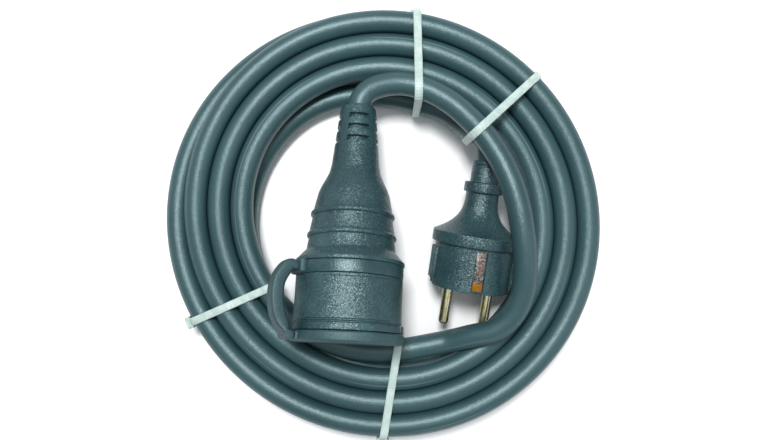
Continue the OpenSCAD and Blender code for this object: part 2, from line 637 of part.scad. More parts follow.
coupling_body();
contact_carrier();
contact_line();
contact_neutral();
earth_bow();
lid_collar();
lid_strap();
lid();
coupling_core_line();
coupling_core_neutral();
coupling_core_earth();
coupling_lead();
coil();
plug_lead();
plug_body();
pin_bridge();
pin_line();
pin_neutral();
earth_frame();
earth_sleeve();
plug_core_line();
plug_core_neutral();
plug_core_earth();
tie_top();
tie_right();
tie_left();
tie_bottom();
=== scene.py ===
from math import asin, ceil, copysign, cos, degrees, pi, radians, sin

import bmesh
import bpy
from mathutils import Matrix, Vector


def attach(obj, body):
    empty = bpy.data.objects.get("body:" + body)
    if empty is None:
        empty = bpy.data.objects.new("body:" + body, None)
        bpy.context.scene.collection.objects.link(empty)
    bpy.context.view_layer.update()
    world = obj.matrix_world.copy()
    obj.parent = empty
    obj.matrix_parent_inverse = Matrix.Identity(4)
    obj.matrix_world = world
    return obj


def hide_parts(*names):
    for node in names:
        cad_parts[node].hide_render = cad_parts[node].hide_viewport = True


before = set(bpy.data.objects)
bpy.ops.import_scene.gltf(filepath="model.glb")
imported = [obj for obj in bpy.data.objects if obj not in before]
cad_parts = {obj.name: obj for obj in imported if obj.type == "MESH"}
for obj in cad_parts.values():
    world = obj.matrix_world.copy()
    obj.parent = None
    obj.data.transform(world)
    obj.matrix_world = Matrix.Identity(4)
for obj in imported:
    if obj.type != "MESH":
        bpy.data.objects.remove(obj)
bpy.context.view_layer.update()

mm = 0.001
smoothAngle = radians(38)


def rgb(red, green, blue):
    return (red, green, blue, 1)


def shown(name, data):  # puts a new object with this data into the scene
    made = bpy.data.objects.new(name, data)
    bpy.context.scene.collection.objects.link(made)
    return made


cameraSettings = {"at": (0.0004, 0.0004, 0.3335), "lens": 31.45, "sensor": 36, "near": 0.01}


def placeCamera():
    data = bpy.data.cameras.new("viewCamera")
    data.lens = cameraSettings["lens"]
    data.sensor_width = cameraSettings["sensor"]
    data.clip_start = cameraSettings["near"]
    camera = shown("viewCamera", data)
    camera.location = cameraSettings["at"]
    bpy.context.scene.camera = camera


lamps = {
    "softboxKey": {"at": (-0.08, 0.3, 0.95), "size": 0.2, "power": 9.5},
    "softboxOverhead": {"at": (0.1, 0.12, 1.5), "size": 1.1, "power": 3.0},
    "softboxRight": {"at": (0.9, -0.3, 0.7), "size": 0.4, "power": 1.0},
}
sky = {"color": rgb(0.93, 0.97, 1), "strength": 0.43}


def placeLights():
    for name, lamp in lamps.items():
        data = bpy.data.lights.new(name, "AREA")
        data.size = lamp["size"]
        data.energy = lamp["power"]
        light = shown(name, data)
        light.location = lamp["at"]
        light.rotation_euler = (-Vector(lamp["at"])).to_track_quat("-Z", "Y").to_euler()
    world = bpy.data.worlds.new("paleRoom")
    world.use_nodes = True
    background = world.node_tree.nodes["Background"].inputs
    background["Color"].default_value = sky["color"]
    background["Strength"].default_value = sky["strength"]
    bpy.context.scene.world = world
    bpy.context.scene.view_settings.view_transform = "Standard"


placeCamera()
placeLights()
print("camera and lights placed")


def operator(operation, reflected=False):
    def work(self, other):
        values = (other, self) if reflected else (self, other)
        return self.finish.math(operation, *values)
    return work


class Flow:  # a socket that can be added, taken away and multiplied
    def __init__(self, finish, socket):
        self.finish = finish
        self.socket = socket

    __add__, __radd__ = operator("ADD"), operator("ADD", True)
    __sub__, __rsub__ = operator("SUBTRACT"), operator("SUBTRACT", True)
    __mul__, __rmul__ = operator("MULTIPLY"), operator("MULTIPLY", True)


shaderInputs = {"color": "Base Color", "rough": "Roughness", "metal": "Metallic", "normal": "Normal",
                "specular": "Specular IOR Level", "tint": "Specular Tint",
                "subsurface": "Subsurface Weight", "subsurfaceScale": "Subsurface Scale"}


class Finish:  # a material and the short ways to add its nodes
    def __init__(self, name):
        self.material = bpy.data.materials.new(name)
        self.material.use_nodes = True
        self.tree = self.material.node_tree
        self.shader = self.tree.nodes["Principled BSDF"]
        self.place = self.node("TexCoord", out="Object")

    def put(self, socket, value):
        if isinstance(value, Flow):
            self.tree.links.new(value.socket, socket)
        else:
            socket.default_value = value

    def node(self, kind, settings=None, values=(), out=0):
        made = self.tree.nodes.new("ShaderNode" + kind)
        for key, value in (settings or {}).items():
            setattr(made, key, value)
        for key, value in (values.items() if isinstance(values, dict) else enumerate(values)):
            self.put(made.inputs[key], value)
        return Flow(self, made.outputs[out])

    def math(self, operation, *values):
        return self.node("Math", {"operation": operation}, values)

    def vector(self, operation, *values, out=0, **named):
        sockets = {**dict(enumerate(values)), **named}
        return self.node("VectorMath", {"operation": operation}, sockets, out)

    def along(self, direction, origin=(0, 0, 0)):  # distance from the origin in one direction
        moved = self.vector("SUBTRACT", self.place, origin)
        return self.vector("DOT_PRODUCT", moved, direction, out="Value")

    def attribute(self, name):
        return self.node("Attribute", {"attribute_name": name}, out="Fac")

    def noise(self, scale, detail=2, rough=0.5, where=None):
        sockets = {"Vector": where or self.place, "Scale": scale, "Detail": detail, "Roughness": rough}
        return self.node("TexNoise", {}, sockets, "Fac")

    def cells(self, scale, out="Distance"):
        return self.node("TexVoronoi", {}, {"Vector": self.place, "Scale": scale}, out)

    def ramp(self, value, low, high):
        return self.node("MapRange", {"interpolation_type": "SMOOTHSTEP"},
                         {"Value": value, "From Min": low, "From Max": high}, "Result")

    def mix(self, factor, first, second):
        return self.node("Mix", {"data_type": "RGBA"}, {0: factor, 6: first, 7: second}, 2)

    def bump(self, height, distance, strength=1.0):
        sockets = {"Height": height, "Distance": distance, "Strength": strength}
        return self.node("Bump", {}, sockets, "Normal")

    def faceted(self, normal, scale, tilt):  # tiny faces that sparkle
        facet = self.vector("SUBTRACT", self.cells(scale, out="Color"), (0.5, 0.5, 0.5))
        return self.vector("NORMALIZE", self.vector("ADD", normal, self.vector("SCALE", facet, Scale=tilt)))

    def surface(self, **looks):
        for name, value in looks.items():
            self.put(self.shader.inputs[shaderInputs[name]], value)
        return self.material


# Texture scales are in cells per metre, and heights in metres
highlightTint = rgb(0.76, 0.98, 1)  # rubber with a cool sheen
# glint is a painted highlight: a pale colour painted on specks of the grain to stand in for sparkle
mouldedLook = {"deep": rgb(0.008, 0.031, 0.037), "pale": rgb(0.015, 0.048, 0.055),
               "glint": rgb(0.15, 0.26, 0.27), "worn": rgb(0.04, 0.1, 0.105), "shine": 0.85,
               "grain": 1700, "fineness": 2.3, "clouds": 28, "streaks": 110, "wear": 60,
               "grainHeight": 0.00012, "facets": 2700}
# Facet tilt, roughness and the strength of the painted glints, for each rubber
rubbers = {"mouldedRubber": {"tilt": 0.42, "rough": 0.34, "paintedGlints": 0.6},
           "smoothRubber": {"tilt": 0.12, "rough": 0.28, "paintedGlints": 0.25},
           "mattRubber": {"tilt": 0.16, "rough": 0.5, "paintedGlints": 0.2}}


def mouldedRubber(name):
    f = Finish(name)
    look = mouldedLook | rubbers[name]
    grain = f.noise(look["grain"], 2, 0.62)  # spark-eroded mould skin
    fine = f.noise(look["grain"] * look["fineness"], 1)
    cloud = f.noise(look["clouds"], 3, 0.55)
    streak = f.noise(look["streaks"], 3, 0.6)
    worn = f.ramp(f.noise(look["wear"], 4, 0.65), 0.54, 0.72)
    # specks of the grain, painted pale as glints (painted highlight) and made a little glossier
    paintedGlintSpeck = f.ramp(grain, 0.58, 0.74)
    color = f.mix(f.ramp(cloud + streak * 0.4, 0.45, 0.95), look["deep"], look["pale"])
    color = f.mix(worn * 0.25, color, look["worn"])
    # painted highlight: the pale glint colour painted on the specks
    color = f.mix(paintedGlintSpeck * look["paintedGlints"], color, look["glint"])
    skin = f.faceted(f.bump(grain + fine * 0.4, look["grainHeight"]), look["facets"], look["tilt"])
    return f.surface(color=color, rough=look["rough"] + streak * 0.1 - paintedGlintSpeck * 0.1 + worn * 0.05,
                     specular=look["shine"], tint=highlightTint, normal=skin)


cordLook = {"deep": rgb(0.016, 0.049, 0.057), "pale": rgb(0.026, 0.068, 0.076),
            "chalk": rgb(0.08, 0.15, 0.158), "seam": rgb(0.2, 0.3, 0.3),
            "seamAt": 0.68, "seamWide": 0.012, "seamBreaks": 7,
            "drags": (14, 9), "hairs": (70, 55), "clouds": 22, "grain": 2300, "dust": 240, "scuffs": 95,
            "facets": 2600, "tilt": 0.13, "grainHeight": 0.00016, "rough": 0.35, "shine": 0.9}


def jacketRubber():
    f = Finish("cordJacket")
    look = cordLook
    length = f.attribute("alongCord")
    turn = f.attribute("roundCord")

    def marks(lengthwise, around, seed=0):  # texture space drawn out along the cord
        return f.node("CombineXYZ", {}, (length * lengthwise, turn * around, seed))

    drag = f.noise(1, 3, 0.55, marks(*look["drags"]))  # drawn-out marks of the extruder
    hair = f.noise(1, 2, 0.6, marks(*look["hairs"]))
    cloud = f.noise(look["clouds"], 3)
    grain = f.noise(look["grain"], 2, 0.6)
    dust = f.ramp(f.noise(look["dust"], 4, 0.7), 0.62, 0.8)
    scuff = f.ramp(f.cells(look["scuffs"]), 0, 0.035)
    fromSeam = f.math("ABSOLUTE", turn - look["seamAt"])
    seam = f.ramp(look["seamWide"] - fromSeam, 0, look["seamWide"])  # thin line left by the die
    seam = seam * f.ramp(f.noise(1, 1, 0.5, marks(look["seamBreaks"], 0, 3)), 0.5, 0.62)
    color = f.mix(f.ramp(cloud + drag * 0.5, 0.45, 1), look["deep"], look["pale"])
    for amount in (f.ramp(hair, 0.6, 0.85) * 0.3, dust * 0.16, (1 - scuff) * 0.35):
        color = f.mix(amount, color, look["chalk"])
    color = f.mix(seam * 0.55, color, look["seam"])
    height = grain * 0.5 + drag * 0.4 + hair * 0.25
    skin = f.faceted(f.bump(height, look["grainHeight"], 0.9), look["facets"], look["tilt"])
    return f.surface(color=color, rough=look["rough"] + drag * 0.1 + dust * 0.1 + hair * 0.05,
                     specular=look["shine"], tint=highlightTint, normal=skin)


insertLook = {"deep": rgb(0.02, 0.024, 0.026), "pale": rgb(0.035, 0.04, 0.043), "clouds": 45, "grain": 1700,
              "rough": 0.42, "grainHeight": 0.00004}


def hardInsert():
    f = Finish("hardInsert")
    look = insertLook
    grain = f.noise(look["grain"])
    return f.surface(color=f.mix(f.noise(look["clouds"], 3), look["deep"], look["pale"]),
                     rough=look["rough"] + grain * 0.12, normal=f.bump(grain, look["grainHeight"]))


brassLook = {"bright": rgb(0.7, 0.53, 0.24), "tarnish": rgb(0.36, 0.25, 0.12), "spots": 190,
             "lines": (4200, 500, 500), "rough": 0.24, "lineHeight": 0.00003}


def stampedBrass():
    f = Finish("stampedBrass")
    look = brassLook
    tarnish = f.ramp(f.noise(look["spots"], 4, 0.6), 0.45, 0.72)
    lines = f.noise(1, where=f.vector("MULTIPLY", f.place, look["lines"]))
    return f.surface(color=f.mix(tarnish, look["bright"], look["tarnish"]), metal=1,
                     rough=look["rough"] + tarnish * 0.2 + lines * 0.08,
                     normal=f.bump(lines, look["lineHeight"]))


pinLook = {"plate": rgb(0.62, 0.6, 0.43), "brass": rgb(0.52, 0.46, 0.16), "edge": rgb(0.1, 0.09, 0.13),
           "wear": 330, "lines": (2600, 260, 2600), "rough": 0.2, "lineHeight": 0.00003}


def platedPin():
    f = Finish("platedPin")
    look = pinLook
    wear = f.ramp(f.noise(look["wear"], 4, 0.65), 0.42, 0.66)
    rubbed = f.noise(1, 3, 0.6, f.vector("MULTIPLY", f.place, look["lines"]))
    color = f.mix(wear, look["plate"], look["brass"])
    color = f.mix(f.ramp(rubbed, 0.55, 0.8) * 0.5, color, look["edge"])
    return f.surface(color=color, metal=1, rough=look["rough"] + rubbed * 0.16,
                     normal=f.bump(rubbed, look["lineHeight"]))


clipLook = {"dark": rgb(0.06, 0.055, 0.055), "light": rgb(0.3, 0.3, 0.29), "stain": rgb(0.2, 0.12, 0.09),
            "copper": rgb(0.42, 0.17, 0.02), "copperFrom": -0.0046, "copperTo": -0.0038, "rags": 500,
            "ragged": 0.0016, "mottles": 1100, "blotches": 420, "rough": 0.3, "mottleHeight": 0.00006}


def clipMetal():
    f = Finish("clipMetal")
    look = clipLook
    height = f.along(tuple(plugAxis), tuple(plugPoint(0, 0, plug["face"])))  # below 0 behind the face
    mottle = f.ramp(f.noise(look["mottles"], 3, 0.7), 0.42, 0.66)
    blotch = f.ramp(f.noise(look["blotches"], 3, 0.6), 0.45, 0.62)
    copper = f.ramp(height + f.noise(look["rags"]) * look["ragged"], look["copperFrom"], look["copperTo"])
    color = f.mix(mottle, look["dark"], look["light"])
    color = f.mix(blotch * 0.7, color, look["stain"])
    color = f.mix(copper, color, look["copper"])
    return f.surface(color=color, metal=0.8, rough=look["rough"] + mottle * 0.2,
                     normal=f.bump(mottle, look["mottleHeight"]))


coreColors = {"line": rgb(0.16, 0.06, 0.025), "neutral": rgb(0.03, 0.11, 0.42), "earth": rgb(0.2, 0.42, 0.05)}
coreLook = {"stripe": rgb(0.65, 0.55, 0.04), "stripes": 900, "shade": 0.75, "clouds": 400, "grain": 900}


def coreSkin(wire):
    f = Finish("core" + wire.capitalize())
    color = coreColors[wire]
    tone = f.mix(f.noise(coreLook["clouds"]), color, rgb(*[c * coreLook["shade"] for c in color[:3]]))
    if wire == "earth":
        wave = f.math("SINE", f.along((0, 0, 1)) * coreLook["stripes"])
        tone = f.mix(f.ramp(wave, -0.1, 0.1), tone, coreLook["stripe"])
    return f.surface(color=tone, rough=0.4 + f.noise(coreLook["grain"], 1) * 0.1)


tieLook = {"body": rgb(0.42, 0.53, 0.5), "milky": rgb(0.52, 0.62, 0.59), "grime": rgb(0.3, 0.38, 0.36),
           "clouds": 240, "dirt": 700, "grain": 1600, "rough": 0.34, "grainHeight": 0.00003,
           "subsurface": 0.12, "subsurfaceScale": 0.001}


def tieNylon():
    f = Finish("tieNylon")
    look = tieLook
    cloud = f.noise(look["clouds"], 3, 0.55)
    grime = f.ramp(f.noise(look["dirt"], 4, 0.7), 0.6, 0.8)
    color = f.mix(f.ramp(cloud, 0.35, 0.7), look["body"], look["milky"])
    color = f.mix(grime * 0.18, color, look["grime"])
    return f.surface(color=color, rough=look["rough"] + cloud * 0.14, subsurface=look["subsurface"],
                     subsurfaceScale=look["subsurfaceScale"],
                     normal=f.bump(f.noise(look["grain"]), look["grainHeight"]))


floorLook = {"shade": rgb(0.93, 0.935, 0.94), "light": rgb(0.95, 0.955, 0.96), "clouds": 3,
             "rough": 0.9, "shine": 0.1}


def paleFloor():
    f = Finish("paleFloor")
    return f.surface(color=f.mix(f.noise(floorLook["clouds"]), floorLook["shade"], floorLook["light"]),
                     rough=floorLook["rough"], specular=floorLook["shine"])


def addPiece(name, mesh, material, body, slot, *nodes):
    piece = shown(name, mesh)
    mesh.name = name + "Shape"
    mesh.materials.clear()
    mesh.materials.append(material)
    for polygon in mesh.polygons:
        polygon.material_index = 0
    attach(piece, body)
    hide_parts(*nodes)
    return piece


def replaceNode(node, mesh, material, slot, body="cord"):  # a piece in the place of one node, named after it
    first, *others = node.split("_")
    return addPiece(first + "".join(word.capitalize() for word in others), mesh, material, body, slot, node)


class Editing:  # opens a mesh for bmesh work and writes it back
    def __init__(self, mesh):
        self.mesh = mesh

    def __enter__(self):
        self.work = bmesh.new()
        self.work.from_mesh(self.mesh)
        return self.work

    def __exit__(self, *problem):
        self.work.to_mesh(self.mesh)
        self.work.free()


def smoothed(mesh, angle=smoothAngle):
    mesh.shade_smooth()
    mesh.set_sharp_from_angle(angle=angle)
    return mesh


def settled(helper):  # the mesh that a helper's modifiers give
    mesh = bpy.data.meshes.new_from_object(helper.evaluated_get(bpy.context.evaluated_depsgraph_get()))
    bpy.data.objects.remove(helper)
    return mesh


merging = {"own": 1e-7, "cad": 2e-6, "flat": radians(0.4), "sharp": radians(32)}  # metres and angles


def meshFrom(points, faces):
    mesh = bpy.data.meshes.new("shape")
    mesh.from_pydata([tuple(p) for p in points], [], faces)
    mesh.validate()
    with Editing(mesh) as b:
        bmesh.ops.remove_doubles(b, verts=b.verts, dist=merging["own"])
        bmesh.ops.recalc_face_normals(b, faces=b.faces)
    return smoothed(mesh)


# A copy of a CAD node with its loose triangles merged, its edges softened and its curves shaded smooth
def fromCad(node, soften, segments=2):
    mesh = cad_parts[node].data.copy()
    with Editing(mesh) as b:
        bmesh.ops.remove_doubles(b, verts=b.verts, dist=merging["cad"])
        bmesh.ops.dissolve_limit(b, angle_limit=merging["flat"], verts=b.verts, edges=b.edges)
    helper = shown("softening", mesh)
    if soften:
        bevel = helper.modifiers.new("softEdges", "BEVEL")
        bevel.width = soften * mm
        bevel.segments = segments
        bevel.limit_method = "ANGLE"
        bevel.angle_limit = merging["sharp"]
        bevel.use_clamp_overlap = True
    return smoothed(settled(helper))


def polar(radius, angle):
    return radius * cos(radians(angle)), radius * sin(radians(angle))


def smooth(t):
    c = min(1, max(0, t))
    return c * c * (3 - 2 * c)


def stepAt(radius, height, half):  # two close points, where relief may make a step
    return [(radius, height - half), (radius, height + half)]


def rounded(profile, radius, steps=3, sharpest=18):  # softens the corners of a profile
    out = [profile[0]]
    for before, corner, after in zip(profile, profile[1:], profile[2:]):
        a, c, d = Vector(before), Vector(corner), Vector(after)
        into, away = c - a, d - c
        if into.length < 1e-6 or away.length < 1e-6:
            continue
        if into.angle(away) < radians(sharpest):
            out.append(corner)
            continue
        reach = min(radius, into.length * 0.45, away.length * 0.45)
        start, end = c - into.normalized() * reach, c + away.normalized() * reach
        for k in range(steps + 1):
            t = k / steps
            out.append(tuple(start * (1 - t) ** 2 + c * 2 * t * (1 - t) + end * t * t))
    out.append(profile[-1])
    return out


# Turns a profile of (radius, height) round the axis; relief(radius, height, angle) may press it in or out
def turned(profile, place, relief=None, extra=(), closed=False, columns=144):
    angles = [360 * k / columns for k in range(columns)] + [a % 360 for a in extra]
    angles = sorted({round(a, 4) for a in angles})
    points, rows, faces = [], [], []
    for radius, height in profile:
        if radius < 1e-6:
            points.append(place(0, 0, height))
            rows.append([len(points) - 1] * len(angles))
            continue
        row = []
        for a in angles:
            r = relief(radius, height, a) if relief else radius
            points.append(place(*polar(r, a), height))
            row.append(len(points) - 1)
        rows.append(row)
    pairs = list(zip(rows, rows[1:])) + ([(rows[-1], rows[0])] if closed else [])
    for low, high in pairs:
        for k in range(len(angles)):
            ring = [low[k], low[(k + 1) % len(angles)], high[(k + 1) % len(angles)], high[k]]
            face = [v for i, v in enumerate(ring) if v not in ring[:i]]
            if len(face) > 2:
                faces.append(face)
    return points, faces


def ringOf(halfWidth, halfThick, count=28, power=0.42):  # a rectangle with round corners
    turns = [2 * pi * k / count for k in range(count)]
    return [(copysign(abs(cos(a)) ** power, cos(a)) * halfWidth,
             copysign(abs(sin(a)) ** power, sin(a)) * halfThick) for a in turns]


def lofted(rings):
    n = len(rings[0])
    faces = [[r * n + k, r * n + (k + 1) % n, (r + 1) * n + (k + 1) % n, (r + 1) * n + k]
             for r in range(len(rings) - 1) for k in range(n)]
    faces += [list(range(n)), [(len(rings) - 1) * n + k for k in range(n)]]
    return [p for ring in rings for p in ring], faces


# Places and sizes are in mm and angles in degrees; heights run along a part's own axis
coupling = {"at": (-9.5, 54, 24.4), "tilt": 12, "lean": 2.5, "roll": 25, "length": 109.4, "shift": 1.8,
            "lidThick": 4.5, "lidGap": 0.3, "neck": 8.2, "neckTop": 10.9, "neckDown": 44, "flareDown": 30.4,
            "barrel": 23.5, "barrelStep": 0.4, "carrier": 21.3, "carrierGap": 0.06, "carrierDepth": 12.5,
            "recessDepth": 17.5, "rib": 0.9, "ribWidth": 2.4, "ribsDown": (21.1, 11.4),
            "slots": (6.2, 11.6, 17.2), "slotWidth": 2.3, "slotDepth": 2.2, "slotTurn": 38, "slotStep": 0.14,
            "slotEdge": 0.6, "bridge": 26, "seamHigh": 0.09, "seamWide": 0.9, "seamFrom": 20, "soft": 0.4}
barrel = coupling["barrel"]
plug = {"at": (45.51, -8.45, 20.5), "dip": 5, "lean": 8, "roll": 4, "nose": 18.4, "noseLength": 20.4,
        "disc": 20.3, "discThick": 5.5, "sleeve": 6.65, "sleeveLength": 10, "collar": 9, "collarLength": 4.7,
        "flare": 19, "waist": 7.7, "bell": 19.7, "bellPower": 3.2, "bore": 4, "boreGap": 0.15,
        "ridge": 1.35, "ridgeReach": 4.9, "ridgeDown": 2.6, "groove": 5, "grooveDepth": 2.4,
        "clip": 5.3, "clipFloor": 17.4, "clipUp": 1.4, "clipDown": 0.6, "clipStep": 0.12, "step": 0.15,
        "bridge": 14.66, "bridgeDepth": 8.05, "outerWall": 14.8, "soft": 0.55}
plug["face"] = plug["discThick"] / 2 + plug["noseLength"]
plug["back"] = plug["discThick"] / 2 + plug["flare"] + plug["collarLength"] + plug["sleeveLength"]


def turnOf(lean, rise, roll):
    turns = ((-lean, "Z"), (rise, "X"), (-roll, "Z"))
    first, second, third = [Matrix.Rotation(radians(angle), 3, axis) for angle, axis in turns]
    return first @ second @ third


couplingTurn = turnOf(coupling["lean"], 90 - coupling["tilt"], coupling["roll"])
plugTurn = turnOf(plug["lean"], 90 + plug["dip"], plug["roll"])
couplingAxis = couplingTurn @ Vector((0, 0, 1))
plugAxis = plugTurn @ Vector((0, 0, 1))


def placerOf(part, turn):
    return lambda x, y, z: (Vector(part["at"]) + turn @ Vector((x, y, z))) * mm


couplingPoint, plugPoint = placerOf(coupling, couplingTurn), placerOf(plug, plugTurn)


coil = {"cord": 10.5, "gap": 0.45, "tieThick": 1.15, "tieGap": 0.1, "outer": 101, "loops": 3, "start": -75,
        "push": 3.5, "pushAngle": -2, "oval": 1.5, "grow": 0.5, "crest": 0.12, "climb": 0.5, "lean": 0.15,
        "endDrop": 3, "endTurn": 0.15, "ringsPerLoop": 150}
jacket = {"radius": 5.35, "sides": 30, "reachInside": 9, "spacing": 1.7, "fine": 0.5, "rounds": 96,
          "neckReach": 1.5}
couplingRoute = [(-8.4, 57.6, 24.1), (-5.6, 60.6, 24.5), (-1, 62.3, 25.3), (4.5, 63.3, 26.5),
                 (12, 63.2, 28.2), (21, 60.5, 29.8), (31, 55, 31.5), (40, 47, 33.8), (48.5, 36.5, 37.2),
                 (55.5, 24, 40), (60.5, 10, 41.6), (63.3, -5, 41.6), (65, -20, 39.2), (64.5, -33, 35.4),
                 (60, -44, 31.6), (52.5, -50.8, 28.7), (44.8, -52.9, 25.3), (37.8, -55.5, 21.2)]
plugRoute = [(38.2, 48.7, 9), (43.8, 43.2, 15.3), (48.6, 39.2, 21.2)]

cordRadius = coil["cord"] / 2
pitch = coil["cord"] + coil["gap"]
lowZ = coil["tieThick"] + coil["tieGap"] + cordRadius
highZ = lowZ + pitch
layerTurns = coil["loops"] + (coil["start"] + 180) / 360
coilTurns = 2 * layerTurns


# The cord's middle after u turns: outwards in the upper layer, then inwards in the lower one
def coilPoint(u):
    angle = coil["start"] - 360 * u
    v = u - layerTurns
    lowered = smooth(v / coil["climb"] + 0.5)
    fromCrest = v * v / (2 * coil["crest"]) + coil["crest"] / 2 if abs(v) < coil["crest"] else abs(v)
    drawnIn = coil["endDrop"] * (2 - smooth(u / coil["endTurn"]) - smooth((coilTurns - u) / coil["endTurn"]))
    r = (coil["outer"] - pitch * fromCrest + pitch * coil["lean"] * (1 - 2 * lowered) * sin(radians(angle))
         + coil["grow"] + coil["push"] * cos(radians(angle - coil["pushAngle"]))
         - coil["oval"] * sin(radians(2 * angle)) - drawnIn)
    return Vector((*polar(r, angle), highZ + (lowZ - highZ) * lowered))


def eased(points, first, last, steps=10):  # a smooth curve through the points, with given ways at its ends
    points = [Vector(p) for p in points]
    slopes = [first * (points[1] - points[0]).length]
    slopes += [(b - a) / 2 for a, b in zip(points, points[2:])]
    slopes += [last * (points[-1] - points[-2]).length]
    out = []
    for p, q, m, n in zip(points, points[1:], slopes, slopes[1:]):
        for k in range(steps):
            t = k / steps
            out.append((2 * t ** 3 - 3 * t * t + 1) * p + (t ** 3 - 2 * t * t + t) * m
                       + (3 * t * t - 2 * t ** 3) * q + (t ** 3 - t * t) * n)
    return out + [points[-1]]


def evenly(points, spacing):
    out, left = [points[0]], spacing
    for a, b in zip(points, points[1:]):
        span = (b - a).length
        while left < span:
            out.append(a + (b - a) * (left / span))
            left += spacing
        left -= span
    return out + [points[-1]]


def softened(points, rounds):  # rounds kinks off a route whose points lie evenly
    for _ in range(rounds):
        middle = [(a + 2 * b + c) / 4 for a, b, c in zip(points, points[1:], points[2:])]
        points = [points[0]] + middle + [points[-1]]
    return points


def cordRoute():
    step = 0.001
    upperWay = (coilPoint(step) - coilPoint(-step)).normalized()
    lowerWay = (coilPoint(coilTurns + step) - coilPoint(coilTurns - step)).normalized()
    upperEnd = coilPoint(0) - (coil["cord"] + cordRadius) * upperWay
    lowerEnd = coilPoint(coilTurns) + (coil["cord"] + cordRadius) * lowerWay
    neck = Vector(coupling["at"])
    sleeve = Vector(plug["at"]) - plug["back"] * plugAxis
    inside = jacket["reachInside"]
    start = neck - jacket["neckReach"] * couplingAxis
    lead = eased([start, *couplingRoute, upperEnd], -couplingAxis, upperWay)
    rings = ceil(coilTurns * coil["ringsPerLoop"])
    loops = [coilPoint(k * coilTurns / rings) for k in range(rings + 1)]
    tail = eased([lowerEnd, *plugRoute, sleeve - cordRadius * plugAxis], lowerWay, plugAxis)
    whole = [neck + inside * couplingAxis, neck] + lead + loops + tail + [sleeve, sleeve + inside * plugAxis]
    fine = softened(evenly(whole, jacket["fine"]), jacket["rounds"])
    return [p * mm for p in evenly(fine, jacket["spacing"])]


class Grower:  # a tree that takes a mesh and named values, and gives a mesh
    def __init__(self, name, inputs):
        self.tree = bpy.data.node_groups.new(name, "GeometryNodeTree")
        sides = self.tree.interface
        self.keys = [sides.new_socket(label, in_out="INPUT", socket_type="NodeSocket" + kind).identifier
                     for label, kind in {"Geometry": "Geometry", **inputs}.items()][1:]
        sides.new_socket("Geometry", in_out="OUTPUT", socket_type="NodeSocketGeometry")
        self.entry, self.leave = [self.tree.nodes.new("NodeGroup" + end) for end in ("Input", "Output")]

    def add(self, *kinds):
        return [self.tree.nodes.new("GeometryNode" + kind) for kind in kinds]

    def link(self, *links):
        for source, output, target, entrance in links:
            self.tree.links.new(source.outputs[output], target.inputs[entrance])

    def deliver(self, source, output):  # makes the result real, paints it and gives it out
        realize, paint = self.add("RealizeInstances", "SetMaterial")
        self.link((source, output, realize, "Geometry"), (realize, "Geometry", paint, "Geometry"),
                  (self.entry, "Material", paint, "Material"), (paint, "Geometry", self.leave, "Geometry"))

    def grow(self, mesh, *values):  # runs the tree on a mesh and returns the plain result
        helper = shown("growing", mesh)
        modifier = helper.modifiers.new("grow", "NODES")
        modifier.node_group = self.tree
        for key, value in zip(self.keys, values):
            modifier[key] = value
        return settled(helper)


# Sweeps the jacket along the route and keeps how far along and round each point lies
def jacketGrower():
    grower = Grower("jacketAlongRoute", {"Jacket Radius": "Float", "Sides": "Int", "Material": "Material"})
    toCurve, normal, parameter = grower.add("MeshToCurve", "SetCurveNormal", "SplineParameter")
    circle, sweep, even = grower.add("CurvePrimitiveCircle", "CurveToMesh", "SetShadeSmooth")
    keepLength, keepTurn = grower.add("StoreNamedAttribute", "StoreNamedAttribute")
    for keep, name in ((keepLength, "alongCord"), (keepTurn, "roundCord")):
        keep.data_type, keep.domain = "FLOAT", "POINT"
        keep.inputs["Name"].default_value = name
    normal.mode = "Z_UP"
    sweep.inputs["Fill Caps"].default_value = True
    entry = grower.entry
    grower.link((entry, "Geometry", toCurve, "Mesh"), (toCurve, "Curve", normal, "Curve"),
                (normal, "Curve", keepLength, "Geometry"), (parameter, "Length", keepLength, "Value"),
                (entry, "Jacket Radius", circle, "Radius"), (entry, "Sides", circle, "Resolution"),
                (circle, "Curve", keepTurn, "Geometry"), (parameter, "Factor", keepTurn, "Value"),
                (keepLength, "Geometry", sweep, "Curve"), (keepTurn, "Geometry", sweep, "Profile Curve"),
                (sweep, "Mesh", even, "Geometry"))
    grower.deliver(even, "Geometry")
    return grower


def makeCord(material):
    route = cordRoute()
    line = bpy.data.meshes.new("cordRoute")
    line.from_pydata([tuple(p) for p in route], [(k, k + 1) for k in range(len(route) - 1)], [])
    mesh = jacketGrower().grow(line, jacket["radius"] * mm, jacket["sides"], material)
    mesh.shade_smooth()
    piece = addPiece("cord", mesh, material, "cord", "cord", "coil", "coupling_lead", "plug_lead")
    length = sum((b - a).length for a, b in zip(route, route[1:]))
    print("cord", len(mesh.polygons), "faces,", round(length, 3), "m")
    return piece, route, length


cordPiece, route, cordLength = makeCord(jacketRubber())


# Each tie lies in an upright plane at an angle, moved sideways by a shift
ties = {"lie": {"tie_top": (90, 17.9), "tie_right": (42.5, 0), "tie_left": (204, -7.7),
                "tie_bottom": (261, -17.9)},
        "width": 3.7, "thick": 1.12, "gap": 0.01, "edge": 0.35, "from": 50, "touch": 0.9, "rimPoints": 48,
        "spacing": 0.6, "smoothAngle": radians(45)}
teeth = {"pitch": 1.0, "long": 0.45, "high": 0.16, "wide": 3.1, "upright": 0.55}
tieHead = {"half": (2.5, 2.9, 1.4), "soft": 0.45, "sink": 0.4, "gate": (0.5, 2.1, 0.55), "gateUp": 1.05,
           "gateOut": 0.1, "gateSoft": 0.12, "pad": (1.2, 1.7, 0.25), "padSoft": 0.1}


def tiePlane(angle, shift):
    c, s = polar(1, angle)
    return lambda x, y, z: Vector((x * c - (y - shift) * s, x * s + (y - shift) * c, z)) * mm


